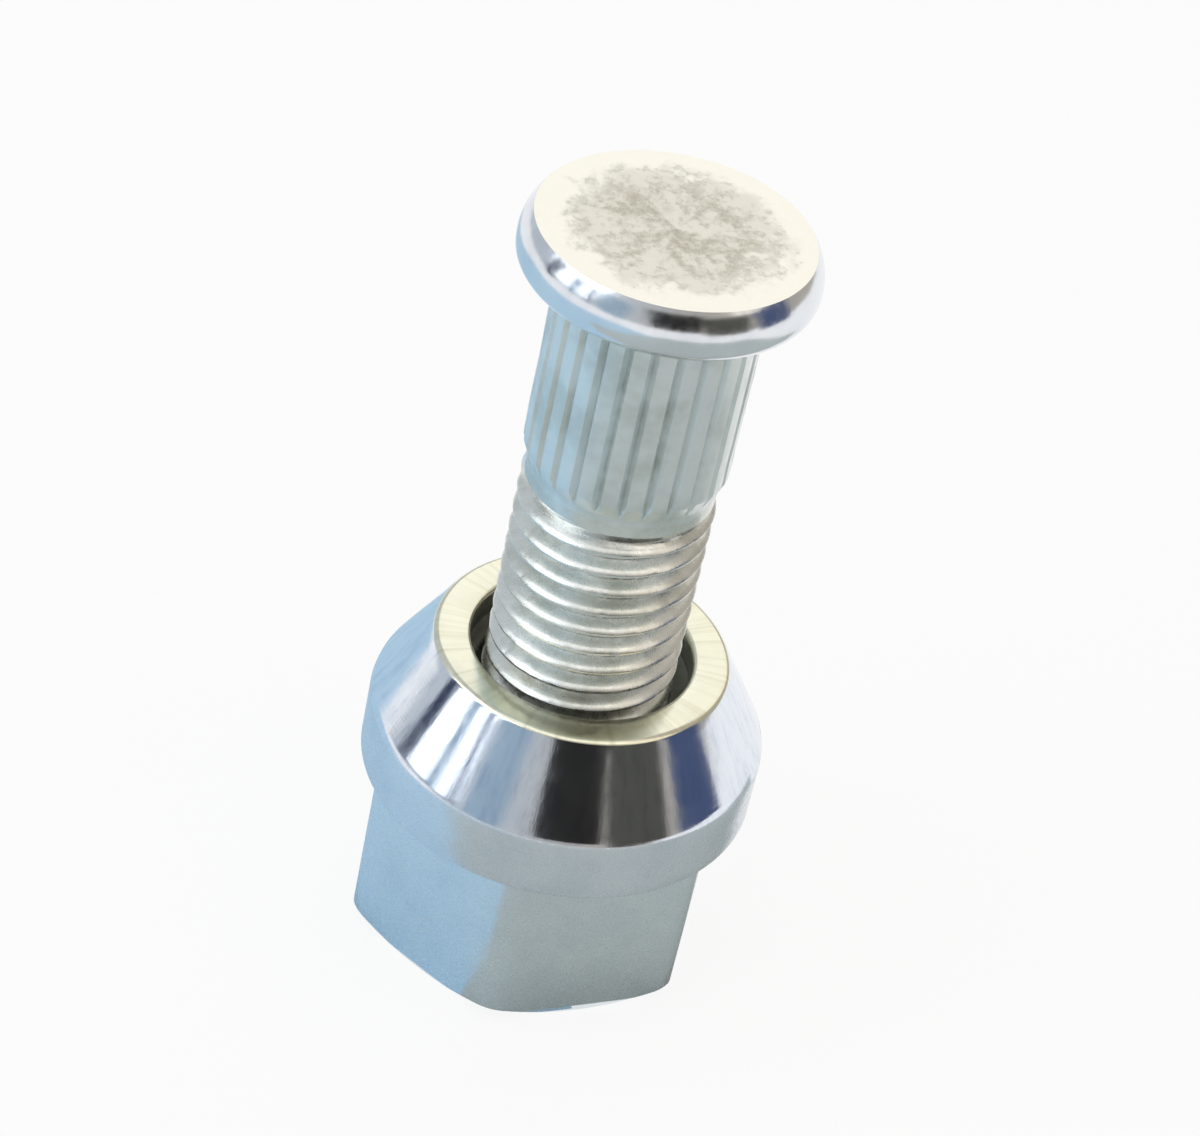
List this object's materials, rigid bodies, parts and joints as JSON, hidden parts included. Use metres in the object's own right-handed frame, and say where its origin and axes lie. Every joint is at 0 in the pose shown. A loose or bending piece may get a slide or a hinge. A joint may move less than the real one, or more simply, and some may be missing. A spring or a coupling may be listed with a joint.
{
  "type": "wheel stud with conical seat nut",
  "caption": "Press-in wheel stud with a round flat head, straight knurl and fine thread, carrying an open conical-seat hexagon wheel nut screwed part way on.",
  "frame": {"origin": "centre of the nut's hexagon end face, which the part stands on", "axes": "+Z along the common axis of stud and nut, from the nut's hexagon end to the stud's head"},
  "size_m": [0.025, 0.025, 0.0525],
  "materials": {
    "stud_zinc": "bright zinc plating, satin on the knurl and thread, polished on the head's rim",
    "nut_zinc": "blue-white zinc plating, polished on the cone seat, satin on the hexagon"
  },
  "bodies": {
    "stud": {"wheel_stud": "stud_zinc"},
    "nut": {"wheel_nut": "nut_zinc"}
  },
  "joints": [
    {"name": "nut_travel", "type": "slide", "parent": "stud", "child": "nut", "axis": [0, 0, 1], "range_m": [-0.015, 0.012]}
  ]
}
